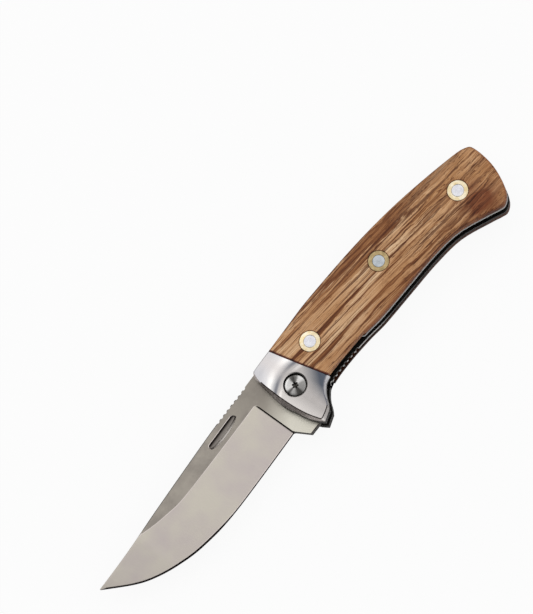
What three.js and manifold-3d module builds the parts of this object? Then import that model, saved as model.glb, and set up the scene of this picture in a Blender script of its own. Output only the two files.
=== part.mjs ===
import * as THREE from 'three';
import { mergeVertices } from 'three/addons/utils/BufferGeometryUtils.js';
import Module from 'manifold-3d';

const wasm = await Module();
wasm.setup();

// A liner-lock folding knife lying on its side with the blade open.
// -X runs to the blade tip, +X to the butt, +Y to the spine and +Z up through the thickness.
// Sizes are in millimetres. Places are measured from the pivot, at mid thickness.

// Blade
const bladeThick = 3;
const bladeReach = 93.1;
const tipY = 13.6;
const edgeDrop = 8.15;
const bellyStart = 45;
const grindY = 8.2;
const grindStraight = 50;
const grindEnd = 71.5;
const plungeX = 12.6;
const plungeRun = 1.5;
const edgeBevel = 0.5;
const edgeBevelThick = 0.5;
const spineHump = 0.3;
const tipThick = 0.6;
const kickX = 9.6;
const kickDrop = 13.4;
const kickReach = 14.4;
const tangRadius = 7.1;

// Nail nick, cut by a coned wheel into the upper side of the blade
const nickCentreX = 26.6;
const nickTopY = 12.75;
const nickLength = 13.7;
const nickWidth = 2.85;
const nickDepth = 0.6;
const nickFootDepth = 0.15;

// Grip notches on the blade's spine and on the lock bar
const notchPitch = 2;
const notchDepth = 0.45;
const notchRadius = 0.7;
const notchCount = 8;
const spineNotchX = 10.7;
const barNotchX = 8.4;

// Handle outline
const bolsterFront = 7.9;
const spineY = 14.7;
const slotY = 7.5;
const nubX = 4.1;
const nubY = 15.6;
const slotStart = 12;
const bellyDrop = 10.5;
const buttX = 99.6;
const hookDrop = 20.7;

// Handle stack
const runningGap = 0.03;
const seatGap = 0.02;
const washerThick = 0.3;
const washerRadius = 5.6;
const linerThick = 1.35;
const coverThick = 2.97;
const bolsterRound = 1.6;
const scaleRound = 0.8;
const rollStart = 5;
const rollRadius = 38;
const jointTopX = 3.9;
const jointBottomX = 9.6;
const jointMiddleX = 5.9;
const jointGap = 0.12;
const reliefDepth = 0.95;
const reliefEnd = 27.4;

// Pivot
const barrelRadius = 2.5;
const boltRadius = 1.4;
const headRadius = 3.65;
const headThick = 1.4;
const counterboreRadius = 4.03;
const counterboreFloor = 0.8;
const socketRadius = 1.05;
const socketLobe = 0.17;
const socketDepth = 0.9;
const turnGap = 0.1;
const pinGap = 0.05;

// Stop pin
const stopRadius = 1.5;
const stopDistance = 11.5;
const stopAngle = THREE.MathUtils.degToRad(78);
const stopGap = 0.1;

// Lock bar, a springy leg of the back liner, with its detent ball
const barNoseY = 3.6;
const barTopY = 1.4;
const barRootX = 58;
const barRootTop = 4.6;
const barSlot = 0.6;
const barRootGap = 0.3;
const lockFaceAngle = THREE.MathUtils.degToRad(-24);
const lockFaceGap = 0.15;
const barHeel = 7.4;
const barIntrusion = 1;
const barSwing = THREE.MathUtils.degToRad(2.4);
const barPocketGap = 0.2;
const ballRadius = 0.75;
const ballRise = 0.2;
const ballX = 9.8;
const ballY = -4.3;

// Back spacer and its pins
const spacerWidth = 3.3;
const spacerStart = 18;
const spacerEndDrop = 8;
const spacerPinRadius = 0.8;
const spacerPinX = [28, 58, 86];

// Scale rivets, a steel core in a brass ring
const ringRadius = 3.6;
const coreRadius = 1.95;
const rivetPlaces = [[14.7, 4.8], [49.95, 2.25], [84.6, -5.2]];

// Screws that hold the bolsters, driven from between the liners
const screwRadius = 0.8;
const screwHeadRadius = 1.3;
const screwHeadThick = 0.7;
const screwHeadRim = 0.1;
const screwDepth = 1.8;
const screwPlaces = [[-3.2, 10.6], [-2, -10.8]];

// Fineness of round faces
const roundSides = 24;
const smallSides = 16;
const wheelSides = 240;
const outlineSteps = 3;

// Levels that follow from the stack
const bladeFace = bladeThick / 2;
const washerInner = bladeFace + runningGap;
const washerOuter = washerInner + washerThick;
const linerInner = washerOuter + runningGap;
const linerOuter = linerInner + linerThick;
const coverInner = linerOuter + seatGap;
const handleFace = coverInner + coverThick;
const boreFloor = coverInner + counterboreFloor;
const stopX = stopDistance * Math.cos(stopAngle);
const stopY = stopDistance * Math.sin(stopAngle);
const barLean = Math.asin(barIntrusion / (barRootX - tangRadius));
const beyond = 2 * buttX;

const at = (x, y) => new THREE.Vector2(x, y);

// Solids

function solidOf(geometry) {
  const bare = geometry.clone();
  bare.deleteAttribute('normal');
  bare.deleteAttribute('uv');
  const welded = mergeVertices(bare);
  const vertProperties = new Float32Array(welded.attributes.position.array);
  const triVerts = Uint32Array.from(welded.index.array);
  return new wasm.Manifold(new wasm.Mesh({ numProp: 3, vertProperties, triVerts }));
}

function geometryOf(solid) {
  const mesh = solid.getMesh();
  const geometry = new THREE.BufferGeometry();
  geometry.setAttribute('position', new THREE.BufferAttribute(mesh.vertProperties, 3));
  geometry.setIndex(new THREE.BufferAttribute(mesh.triVerts, 1));
  geometry.computeVertexNormals();
  return geometry;
}

// A flat piece of the given outline between two levels
function plateGeometry(shape, bottom, top) {
  const settings = { depth: top - bottom, bevelEnabled: false, curveSegments: outlineSteps };
  return new THREE.ExtrudeGeometry(shape, settings).translate(0, 0, bottom);
}

function plate(shape, bottom, top) {
  return solidOf(plateGeometry(shape, bottom, top));
}

// A round bar standing on Z between two levels
function disc(x, y, radius, bottom, top, sides = roundSides) {
  const geometry = new THREE.CylinderGeometry(radius, radius, top - bottom, sides);
  geometry.rotateX(Math.PI / 2);
  return solidOf(geometry.translate(x, y, (bottom + top) / 2));
}

// A round turned piece on Z, from a closed profile of radius and level
function turned(profile, x = 0, y = 0, sides = roundSides) {
  const geometry = new THREE.LatheGeometry([...profile, profile[0]], sides);
  return solidOf(geometry.rotateX(Math.PI / 2).translate(x, y, 0));
}

// The same piece seen on the other side of the handle
function mirrored(solid) {
  const geometry = geometryOf(solid).scale(1, 1, -1);
  geometry.index.array.reverse();
  return solidOf(geometry);
}

// A solid skinned over matching rings of points and closed at both ends
function skinned(rings) {
  const sides = rings[0].length;
  const last = (rings.length - 1) * sides;
  const faces = [];
  for (let start = 0; start < last; start += sides) {
    for (let side = 0; side < sides; side += 1) {
      const a = start + side;
      const b = start + (side + 1) % sides;
      faces.push(a, b + sides, b, a, a + sides, b + sides);
    }
  }
  for (let side = 1; side < sides - 1; side += 1) {
    faces.push(0, side, side + 1);
    faces.push(last, last + side + 1, last + side);
  }
  const geometry = new THREE.BufferGeometry().setFromPoints(rings.flat());
  geometry.setIndex(faces);
  return solidOf(geometry);
}

// Row of half-round grip notches, left standing as bars to cut with
function notchBars(firstX, lineY, step, side) {
  const offset = side * (notchRadius - notchDepth);
  let bars = disc(firstX, lineY(firstX) + offset, notchRadius, -handleFace, handleFace, smallSides);
  for (let notch = 1; notch < notchCount; notch += 1) {
    const x = firstX + notch * step;
    bars = bars.add(disc(x, lineY(x) + offset, notchRadius, -handleFace, handleFace, smallSides));
  }
  return bars;
}

// The height of a curve where it passes a given x
function heightOn(points, x) {
  const line = new THREE.SplineCurve(points).getPoints(12 * points.length);
  for (let index = 1; index < line.length; index += 1) {
    const from = line[index - 1];
    const to = line[index];
    const share = (x - from.x) / (to.x - from.x);
    if (share >= 0 && share <= 1) {
      return from.y + share * (to.y - from.y);
    }
  }
  return line[line.length - 1].y;
}

// Outlines

function bladeSpine() {
  return [at(stopX, spineY), at(-plungeX, spineY + 0.3 * spineHump), at(-1.5 * plungeX, spineY + spineHump),
    at(-2.6 * plungeX, spineY + 0.7 * spineHump), at(-1.2 * grindStraight, spineY - 2 * spineHump),
    at(-1.06 * grindEnd, 0.99 * tipY), at(-bladeReach, tipY)];
}

function bladeEdge() {
  const rise = tipY + edgeDrop;
  const belly = (share, height) => at(
    -THREE.MathUtils.lerp(bellyStart, bladeReach, share),
    -edgeDrop + height * rise,
  );
  return [at(-0.84 * plungeX, -edgeDrop), belly(0, 0), belly(0.326, 0.085), belly(0.535, 0.224),
    belly(0.7, 0.4), belly(0.828, 0.607), belly(1, 1)];
}

function grindLine() {
  const rise = tipY - grindY;
  return [at(-0.68 * plungeX, grindY), at(-grindStraight, grindY),
    at(-(grindStraight + grindEnd) / 2, grindY + 0.3 * rise), at(-grindEnd, tipY)];
}

// A share of the way from the start of the handle's slot side to its butt
function runX(share) {
  return THREE.MathUtils.lerp(slotStart, buttX, share);
}

function slotSide() {
  return [at(-0.5 * nubX, -0.955 * nubY), at(0, -0.917 * nubY), at(0.2 * nubX, -0.872 * nubY),
    at(0.45 * nubX, -0.801 * nubY), at(0.78 * nubX, -0.692 * nubY), at(1.2 * nubX, -0.596 * nubY),
    at(1.75 * nubX, -1.073 * slotY), at(slotStart, -slotY), at(runX(0.09), -1.027 * slotY),
    at(1.044 * reliefEnd, -1.14 * slotY), at(runX(0.27), -0.914 * bellyDrop), at(runX(0.43), -bellyDrop),
    at(runX(0.57), -1.08 * bellyDrop), at(runX(0.7), -1.265 * bellyDrop), at(runX(0.82), -0.874 * hookDrop),
    at(runX(0.86), -0.961 * hookDrop)];
}

function buttEnd() {
  return [at(runX(0.889), -hookDrop), at(runX(0.926), -0.923 * hookDrop), at(runX(0.959), -0.729 * hookDrop),
    at(runX(0.989), -0.6 * spineY), at(buttX, -0.1 * spineY), at(runX(0.984), 0.11 * spineY)];
}

function spineSide(inset) {
  return [at(runX(0.903) - inset / 2, 0.29 * spineY - inset), at(runX(0.66), 0.64 * spineY - inset),
    at(runX(0.43), 0.855 * spineY - inset), at(runX(0.17), 0.985 * spineY - inset),
    at(spacerStart, spineY - inset)];
}

function handleOutline() {
  const shape = new THREE.Shape();
  shape.moveTo(-0.684 * bolsterFront, 0.952 * spineY);
  shape.splineThru([at(-0.81 * bolsterFront, 0.74 * spineY), at(-bolsterFront, 0),
    at(-0.924 * bolsterFront, -0.33 * nubY), at(-0.823 * bolsterFront, -0.65 * nubY),
    at(-1.317 * nubX, -0.859 * nubY)]);
  shape.lineTo(-nubX, -nubY);
  shape.splineThru([...slotSide(), ...buttEnd(), ...spineSide(0)]);
  shape.lineTo(-0.595 * bolsterFront, spineY);
  return shape;
}

// The ground in front of the joint between bolster and scale
function bolsterGround(shift) {
  const shape = new THREE.Shape();
  shape.moveTo(-beyond, 1.07 * spineY);
  shape.lineTo(jointTopX + shift, 1.07 * spineY);
  shape.quadraticCurveTo(jointMiddleX + shift, (spineY - slotY) / 2, jointBottomX + shift, -1.27 * slotY);
  shape.lineTo(jointBottomX + shift, -beyond);
  shape.lineTo(-beyond, -beyond);
  return shape;
}

// The thumb relief in the front liner and scale, which bares the lock bar
function reliefGround() {
  const shape = new THREE.Shape();
  shape.moveTo(0, -slotY + reliefDepth);
  shape.lineTo(slotStart, -slotY + reliefDepth);
  shape.lineTo(runX(0.09), -1.027 * slotY + reliefDepth);
  shape.lineTo(0.949 * reliefEnd, -1.093 * slotY + reliefDepth);
  shape.lineTo(reliefEnd, -1.15 * slotY);
  shape.lineTo(reliefEnd, -beyond);
  shape.lineTo(0, -beyond);
  return shape;
}

// The lock bar's ground in the back liner, let out all round by some ease
function barGround(ease) {
  const reach = tangRadius + lockFaceGap - ease;
  const faceX = (y) => (reach - y * Math.sin(lockFaceAngle)) / Math.cos(lockFaceAngle);
  const shape = new THREE.Shape();
  shape.moveTo(faceX(-barTopY + ease), -barTopY + ease);
  shape.lineTo(faceX(-barNoseY), -barNoseY);
  shape.lineTo(barHeel - ease, -slotY);
  shape.lineTo(barHeel - ease, -beyond);
  shape.lineTo(barRootX, -beyond);
  shape.lineTo(barRootX, -barRootTop + ease);
  return shape;
}

// The space behind the spacer's inner line, up past the spine and the butt
function spacerGround() {
  const shape = new THREE.Shape();
  shape.moveTo(beyond, beyond);
  shape.lineTo(spacerStart, beyond);
  shape.lineTo(spacerStart, spineY - spacerWidth);
  shape.splineThru([...spineSide(spacerWidth).reverse().slice(1),
    at(buttX - 1.12 * spacerWidth, -0.2 * spineY), at(buttX - 1.24 * spacerWidth, -spacerEndDrop)]);
  shape.lineTo(beyond, -spacerEndDrop);
  return shape;
}

function socketOutline() {
  const points = [];
  for (let step = 0; step < 36; step += 1) {
    const angle = step * Math.PI / 18;
    const radius = socketRadius + socketLobe * Math.cos(6 * angle);
    points.push(at(radius * Math.cos(angle), radius * Math.sin(angle)));
  }
  return new THREE.Shape(points);
}

// Blade

// One cross-section of the blade: flat sides, ground bevels and the edge
function bladeRing(x, bevelThick) {
  const spine = heightOn(bladeSpine(), x);
  const edge = heightOn(bladeEdge(), x);
  const width = spine - edge;
  const grind = Math.min(heightOn(grindLine(), x), spine - 0.02 * width);
  const taper = Math.max(0, (-x - grindEnd) / (bladeReach - grindEnd));
  const half = THREE.MathUtils.lerp(bladeFace, tipThick / 2, taper);
  const shoulder = edge + Math.min(edgeBevel, width / 3);
  const thin = Math.min(bevelThick / 2, 0.8 * half);
  return [[spine, half], [grind, half], [shoulder, thin], [edge, 0],
    [shoulder, -thin], [grind, -half], [spine, -half]].map(([y, z]) => new THREE.Vector3(x, y, z));
}

function groundBlade() {
  const rings = [bladeRing(-0.97 * plungeX, bladeThick), bladeRing(-plungeX, bladeThick)];
  const steps = 22;
  for (let step = 0; step <= steps; step += 1) {
    const run = bladeReach - plungeX - plungeRun - tipThick / 2;
    const x = -plungeX - plungeRun - run * Math.sin(step / steps * Math.PI / 2);
    rings.push(bladeRing(x, edgeBevelThick));
  }
  return skinned(rings);
}

// Ricasso and tang: the stop shoulder, the round tang and the kick that meets the stop pin when closed
function tangPlate() {
  const shoulderX = stopX - stopRadius - stopGap;
  const kickAngle = stopAngle - Math.asin((stopRadius + stopGap) / stopDistance) - Math.PI;
  const shape = new THREE.Shape();
  shape.moveTo(-plungeX, spineY);
  shape.lineTo(shoulderX, spineY);
  shape.absarc(0, 0, tangRadius, Math.acos(shoulderX / tangRadius), kickAngle, true);
  shape.lineTo(kickReach * Math.cos(kickAngle), kickReach * Math.sin(kickAngle));
  shape.lineTo(-kickX, -kickDrop);
  shape.lineTo(-plungeX, -edgeDrop);
  const settings = { depth: bladeThick, bevelEnabled: false, curveSegments: roundSides };
  return solidOf(new THREE.ExtrudeGeometry(shape, settings).translate(0, 0, -bladeFace));
}

function nickWheel() {
  const wheelRadius = ((nickLength / 2) ** 2 + nickDepth ** 2) / (2 * nickDepth);
  const footRadius = wheelRadius - nickDepth + nickFootDepth;
  const wheel = new THREE.CylinderGeometry(wheelRadius, footRadius, nickWidth, wheelSides);
  const centreZ = bladeFace + wheelRadius - nickDepth;
  return solidOf(wheel.translate(-nickCentreX, nickTopY - nickWidth / 2, centreZ));
}

function detentDimple() {
  const ball = new THREE.SphereGeometry(ballRadius, smallSides, smallSides / 2);
  return solidOf(ball.translate(-ballX, -ballY, -bladeFace - ballRadius + 2 * ballRise));
}

function blade() {
  const spineNotches = notchBars(-spineNotchX, (x) => heightOn(bladeSpine(), x), -notchPitch, 1);
  return groundBlade().add(tangPlate())
    .subtract(disc(0, 0, barrelRadius + turnGap, -handleFace, handleFace))
    .subtract(spineNotches)
    .subtract(nickWheel())
    .subtract(detentDimple());
}

// Handle covers

// The crowned body that the bolsters and scales are cut from, with its edges rounded off
function coverBlock(round, steps) {
  const settings = {
    depth: 2 * (handleFace - round),
    bevelThickness: round,
    bevelSize: round,
    bevelOffset: -round,
    bevelSegments: steps,
    curveSegments: outlineSteps,
  };
  const block = new THREE.ExtrudeGeometry(handleOutline(), settings);
  const roll = new THREE.Shape();
  roll.moveTo(-beyond, 0);
  roll.lineTo(-beyond, handleFace);
  roll.lineTo(rollStart, handleFace);
  roll.absarc(rollStart, handleFace - rollRadius, rollRadius, Math.PI / 2, Math.PI / 2 - 0.3, true);
  roll.lineTo(1.07 * spineY, 0);
  const rollSettings = { depth: 2 * beyond, bevelEnabled: false, curveSegments: 6 };
  const crown = new THREE.ExtrudeGeometry(roll, rollSettings);
  crown.rotateX(Math.PI / 2).rotateZ(Math.PI / 2).translate(-beyond, 0, 0);
  const slab = new THREE.BoxGeometry(2 * beyond, 2 * beyond, coverThick);
  slab.translate(0, 0, coverInner + coverThick / 2);
  return solidOf(block.translate(0, 0, round - handleFace)).intersect(solidOf(crown))
    .intersect(solidOf(slab));
}

function bolster() {
  let solid = coverBlock(bolsterRound, 1).intersect(plate(bolsterGround(0), 0, 2 * handleFace))
    .subtract(disc(0, 0, barrelRadius + pinGap, 0, 2 * handleFace))
    .subtract(disc(0, 0, counterboreRadius, boreFloor, 2 * handleFace));
  for (const [x, y] of screwPlaces) {
    solid = solid.subtract(disc(x, y, screwRadius + pinGap, 0, linerOuter + screwDepth, smallSides));
  }
  return solid;
}

function scale() {
  let solid = coverBlock(scaleRound, 3).subtract(plate(bolsterGround(jointGap), 0, 2 * handleFace));
  for (const [x, y] of rivetPlaces) {
    solid = solid.subtract(disc(x, y, ringRadius + pinGap, 0, 2 * handleFace));
  }
  return solid;
}

// The wedge of room behind the lock bar, where it lies when the blade is folded
function barPocket() {
  const geometry = plateGeometry(barGround(barSlot), -coverInner - barPocketGap, 0);
  geometry.translate(-barRootX, 0, linerInner).rotateY(barLean - barSwing);
  return solidOf(geometry.translate(barRootX, 0, -linerInner));
}

// Liners

function liner() {
  let solid = plate(handleOutline(), linerInner, linerOuter)
    .subtract(disc(0, 0, barrelRadius + pinGap, 0, handleFace))
    .subtract(disc(stopX, stopY, stopRadius + pinGap, 0, handleFace, smallSides));
  for (const [x, y] of rivetPlaces) {
    solid = solid.subtract(disc(x, y, coreRadius + pinGap, 0, handleFace));
  }
  for (const [x, y] of screwPlaces) {
    const head = screwHeadProfile(pinGap);
    solid = solid.subtract(turned(head, x, y, smallSides));
  }
  for (const x of spacerPinX) {
    solid = solid.subtract(disc(x, spacerPinY(x), spacerPinRadius + pinGap, 0, handleFace, smallSides));
  }
  return solid;
}

function backLiner() {
  const slotEnd = disc(barRootX, -barRootTop, 1.5 * barSlot, -handleFace, 0, smallSides);
  return mirrored(liner()).subtract(plate(barGround(barSlot), -handleFace, 0)).subtract(slotEnd);
}

// Lock bar, made flat and set into its spring bend by the group that carries it
function lockBar() {
  const root = plate(new THREE.Shape([at(barRootX - barRootGap, 0), at(barRootX - barRootGap, -beyond),
    at(beyond, -beyond), at(beyond, 0)]), -handleFace, handleFace);
  const slotLine = (x) => heightOn(slotSide(), x);
  const slotEnd = disc(barRootX, -barRootTop, 1.5 * barSlot, -handleFace, 0, smallSides);
  return plate(handleOutline(), -linerOuter, -linerInner)
    .intersect(plate(barGround(0), -handleFace, 0))
    .subtract(root)
    .subtract(slotEnd)
    .subtract(notchBars(barNotchX, slotLine, notchPitch, -1))
    .subtract(disc(ballX, ballY, ballRadius + pinGap, -handleFace, 0, smallSides));
}

function detentBall() {
  const ball = new THREE.SphereGeometry(ballRadius, smallSides, smallSides / 2);
  return solidOf(ball.translate(ballX, ballY, -linerInner + ballRise - ballRadius));
}

// Pivot, pins, screws and rivets

function washer() {
  return disc(0, 0, washerRadius, washerInner, washerOuter)
    .subtract(disc(0, 0, barrelRadius + pinGap, 0, handleFace));
}

// The sleeve that the blade turns on, with its head in the back bolster
function pivotBarrel() {
  const bottom = -boreFloor - seatGap - headThick;
  return disc(0, 0, headRadius, bottom, bottom + headThick)
    .add(disc(0, 0, barrelRadius, bottom, boreFloor))
    .subtract(disc(0, 0, boltRadius + pinGap, bottom + 2 * headThick, handleFace, smallSides))
    .subtract(plate(socketOutline(), bottom - socketDepth, bottom + socketDepth));
}

function pivotScrew() {
  const under = boreFloor + seatGap;
  return disc(0, 0, headRadius, under, under + headThick)
    .add(disc(0, 0, boltRadius, -linerOuter + headThick, under + headThick / 2, smallSides))
    .subtract(plate(socketOutline(), under + headThick - socketDepth, handleFace));
}

function stopPin() {
  return disc(stopX, stopY, stopRadius, -linerOuter, linerOuter, smallSides);
}

function spacerPinY(x) {
  return heightOn(spineSide(0).reverse(), x) - spacerWidth / 2;
}

function backSpacer() {
  let solid = plate(handleOutline(), -linerInner + seatGap, linerInner - seatGap)
    .intersect(plate(spacerGround(), -handleFace, handleFace));
  for (const x of spacerPinX) {
    const hole = disc(x, spacerPinY(x), spacerPinRadius + pinGap, -handleFace, handleFace, smallSides);
    solid = solid.subtract(hole);
  }
  return solid;
}

function spacerPin(x) {
  return disc(x, spacerPinY(x), spacerPinRadius, -linerOuter, linerOuter, smallSides);
}

// A countersunk head that lies flush between the liners, and its shank
function screwHeadProfile(ease) {
  return [at(0, linerInner - ease), at(screwHeadRadius + ease, linerInner - ease),
    at(screwHeadRadius + ease, linerInner + screwHeadRim + ease),
    at(screwRadius + ease, linerInner + screwHeadThick + ease),
    at(screwRadius + ease, linerOuter + screwDepth - 2 * pinGap + ease),
    at(0, linerOuter + screwDepth - 2 * pinGap + ease)];
}

function bolsterScrew(x, y) {
  return turned(screwHeadProfile(0), x, y, smallSides);
}

function rivetRing(x, y) {
  return disc(x, y, ringRadius, coverInner, handleFace)
    .subtract(disc(x, y, coreRadius + pinGap, 0, 2 * handleFace));
}

function rivetCore(x, y) {
  return disc(x, y, coreRadius, linerInner, handleFace);
}

// Materials

function metal(colour, roughness) {
  return new THREE.MeshStandardMaterial({ color: colour, roughness, metalness: 1 });
}

const bladeSteel = () => metal(0xb9b6b0, 0.35);
const bolsterSteel = () => metal(0xc8c7c5, 0.3);
const linerSteel = () => metal(0xa9a8a5, 0.4);
const hardwareSteel = () => metal(0x9fa1a3, 0.35);
const rivetSteel = () => metal(0xb4b6b8, 0.3);
const brass = () => metal(0xc9a24a, 0.3);
const bronze = () => metal(0xb08a4e, 0.4);
const wood = () => new THREE.MeshStandardMaterial({ color: 0x9c6a3c, roughness: 0.5, metalness: 0 });
const blackPlastic = () => new THREE.MeshStandardMaterial({ color: 0x1b1a19, roughness: 0.6, metalness: 0 });

// Assembly

function node(name, solid, material) {
  const mesh = new THREE.Mesh(geometryOf(solid), material);
  mesh.name = name;
  return mesh;
}

const knife = new THREE.Group();

knife.add(node('blade', blade(), bladeSteel()));

const frontRelief = plate(reliefGround(), 0, 2 * handleFace);
knife.add(node('liner_front', liner().subtract(frontRelief), linerSteel()));
knife.add(node('liner_back', backLiner(), linerSteel()));
knife.add(node('bolster_front', bolster(), bolsterSteel()));
knife.add(node('bolster_back', mirrored(bolster()).subtract(barPocket()), bolsterSteel()));
knife.add(node('scale_front', scale().subtract(frontRelief), wood()));
knife.add(node('scale_back', mirrored(scale()).subtract(barPocket()), wood()));

// The lock bar leans in from its root, so that its nose stands behind the tang
const springLeg = new THREE.Group();
springLeg.position.set(barRootX, 0, -linerInner);
springLeg.rotation.y = barLean;
for (const [name, solid] of [['lock_bar', lockBar()], ['detent_ball', detentBall()]]) {
  const mesh = node(name, solid, name === 'lock_bar' ? linerSteel() : hardwareSteel());
  mesh.position.set(-barRootX, 0, linerInner);
  springLeg.add(mesh);
}
knife.add(springLeg);

knife.add(node('washer_front', washer(), bronze()));
knife.add(node('washer_back', mirrored(washer()), bronze()));
knife.add(node('pivot_barrel', pivotBarrel(), hardwareSteel()));
knife.add(node('pivot_screw', pivotScrew(), hardwareSteel()));
knife.add(node('stop_pin', stopPin(), hardwareSteel()));
knife.add(node('back_spacer', backSpacer(), blackPlastic()));

spacerPinX.forEach((x, index) => {
  knife.add(node(`spacer_pin_${index + 1}`, spacerPin(x), hardwareSteel()));
});

for (const side of ['front', 'back']) {
  const placed = (solid) => (side === 'front' ? solid : mirrored(solid));
  rivetPlaces.forEach(([x, y], index) => {
    knife.add(node(`rivet_ring_${side}_${index + 1}`, placed(rivetRing(x, y)), brass()));
    knife.add(node(`rivet_core_${side}_${index + 1}`, placed(rivetCore(x, y)), rivetSteel()));
  });
  screwPlaces.forEach(([x, y], index) => {
    knife.add(node(`bolster_screw_${side}_${index + 1}`, placed(bolsterScrew(x, y)), hardwareSteel()));
  });
}

// The origin is the middle of the knife's footprint, on the face that it lies on
const box = new THREE.Box3().setFromObject(knife);
const centre = box.getCenter(new THREE.Vector3());
knife.position.set(-centre.x, -centre.y, -box.min.z);

export default knife;
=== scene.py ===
import bmesh
import bpy
import math
from mathutils import Color, Matrix, Vector, geometry, kdtree


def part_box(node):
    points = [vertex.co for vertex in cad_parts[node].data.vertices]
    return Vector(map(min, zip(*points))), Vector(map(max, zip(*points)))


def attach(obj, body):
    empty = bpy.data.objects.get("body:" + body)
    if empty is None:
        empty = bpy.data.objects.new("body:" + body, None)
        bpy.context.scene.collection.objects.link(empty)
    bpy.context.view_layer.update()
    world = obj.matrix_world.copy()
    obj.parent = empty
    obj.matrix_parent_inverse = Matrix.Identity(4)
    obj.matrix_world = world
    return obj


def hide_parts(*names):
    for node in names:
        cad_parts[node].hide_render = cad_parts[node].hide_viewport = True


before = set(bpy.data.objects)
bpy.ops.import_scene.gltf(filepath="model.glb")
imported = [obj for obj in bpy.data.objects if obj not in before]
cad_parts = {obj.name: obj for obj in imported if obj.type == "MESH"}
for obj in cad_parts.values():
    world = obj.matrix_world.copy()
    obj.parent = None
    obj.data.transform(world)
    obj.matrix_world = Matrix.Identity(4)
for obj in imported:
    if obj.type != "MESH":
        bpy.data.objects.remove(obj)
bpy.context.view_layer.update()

# Blade: one bar of satin-ground steel. Its upper half is left flat and its lower half is ground down to a
# fine edge. It has a nail nick, thumb notches along the spine and a kick at the heel, and it turns on the
# pivot between two washers. Every piece is worked in millimetres from the pivot, at mid thickness.
MM = 0.001
screw_low, screw_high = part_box("pivot_screw")
blade_low, blade_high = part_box("blade")
pivot = Vector((
    (screw_low.x + screw_high.x) / 2,
    (screw_low.y + screw_high.y) / 2,
    (blade_low.z + blade_high.z) / 2,
))
to_place = Matrix.Translation(pivot) @ Matrix.Scale(MM, 4)

blade_face = 1.5
blade_tip = -93.1
spine_height = 14.7
tip_height = 13.6
edge_height = -8.15
plunge = -12.6


def smooth_line(points, steps):
    """A line that bends smoothly through the points."""
    marks = [Vector(point) for point in points]
    line = [marks[0]]
    for index in range(len(marks) - 1):
        before = marks[max(index - 1, 0)]
        start = marks[index]
        end = marks[index + 1]
        after = marks[min(index + 2, len(marks) - 1)]
        leave = start + (end - before) / 6
        arrive = end - (after - start) / 6
        line += geometry.interpolate_bezier(start, leave, arrive, end, steps + 1)[1:]
    return line


def height_on(line, x):
    """The height of a line where it passes x."""
    for start, end in zip(line, line[1:]):
        run = end.x - start.x
        if run and 0 <= (x - start.x) / run <= 1:
            return start.y + (x - start.x) / run * (end.y - start.y)
    return min((start, end), key=lambda mark: abs(mark.x - x)).y


def points_of(geom):
    """The points among the parts that an operator has made."""
    return [item for item in geom if isinstance(item, bmesh.types.BMVert)]


def slab(outline, bottom, top):
    """A plate of the given outline between two levels."""
    bm = bmesh.new()
    face = bm.faces.new([bm.verts.new((point[0], point[1], bottom)) for point in outline])
    upper = points_of(bmesh.ops.extrude_face_region(bm, geom=[face])["geom"])
    bmesh.ops.translate(bm, vec=(0, 0, top - bottom), verts=upper)
    bmesh.ops.recalc_face_normals(bm, faces=bm.faces)
    return bm


def bar(x, y, radius, bottom, top, sides=64):
    """A round bar standing between two levels."""
    bm = bmesh.new()
    centre = Matrix.Translation((x, y, (bottom + top) / 2))
    bmesh.ops.create_cone(bm, cap_ends=True, segments=sides, radius1=radius, radius2=radius,
                          depth=top - bottom, matrix=centre)
    return bm


def placed(name, data):
    """Adds an object to the scene."""
    made = bpy.data.objects.new(name, data)
    bpy.context.collection.objects.link(made)
    return made


def worked(bm, tool, operation="DIFFERENCE"):
    """The piece after the tool is cut out of it or joined to it."""
    blanks = []
    for shape in (bm, tool):
        mesh = bpy.data.meshes.new("blank")
        shape.to_mesh(mesh)
        shape.free()
        blanks.append(placed("blank", mesh))
    step = blanks[0].modifiers.new("work", "BOOLEAN")
    step.object = blanks[1]
    step.operation = operation
    step.solver = "EXACT"
    result = bmesh.new()
    result.from_object(blanks[0], bpy.context.evaluated_depsgraph_get())
    for blank in blanks:
        bpy.data.meshes.remove(blank.data)
    return result


def piece(name, bm, materials, body, stands_for, crease=30):
    """Sets a worked piece in its place on the knife and ties it to its body."""
    bmesh.ops.remove_doubles(bm, verts=bm.verts, dist=0.0004)
    bmesh.ops.dissolve_degenerate(bm, edges=bm.edges, dist=0.0002)
    bmesh.ops.transform(bm, matrix=to_place, verts=bm.verts)
    mesh = bpy.data.meshes.new(name)
    bm.to_mesh(mesh)
    bm.free()
    mesh.shade_smooth()
    mesh.set_sharp_from_angle(angle=math.radians(crease))
    made = placed(name, mesh)
    for material in materials:
        mesh.materials.append(material)
    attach(made, body)
    for node_name in stands_for:
        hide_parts(node_name)
    return made


blade_spine = smooth_line([
    (2.4, spine_height), (plunge, spine_height + 0.1), (-18.9, spine_height + 0.3),
    (-32.8, spine_height + 0.2), (-60, spine_height - 0.6), (-75.8, 0.99 * tip_height),
    (blade_tip, tip_height)], 12)
edge_rise = tip_height - edge_height
blade_edge = smooth_line([
    (-10.6, edge_height), (-45, edge_height), (-60.7, edge_height + 0.085 * edge_rise),
    (-70.7, edge_height + 0.224 * edge_rise), (-78.7, edge_height + 0.4 * edge_rise),
    (-84.8, edge_height + 0.607 * edge_rise), (blade_tip, tip_height)], 12)
grind_line = smooth_line([
    (-8.6, 8.2), (-20, 8.2), (-30, 8.3), (-40, 8.45), (-50, 8.7), (-55, 9.1), (-60, 10.15), (-65, 11.4),
    (-71.5, tip_height)], 6)

rim_chamfer = 0.3
edge_half = 0.25
point_half = 0.3
taper_start = -71.5
taper_run = 21.6
corner_start = -13.9
corner_radius = 1.3
belly_run = 78.9


def edge_width(x):
    """The width of the sharpened strip, which is broader along the belly."""
    return 0.4 + 0.35 * min(1, max(0, (-x - 45) / 10))


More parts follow.
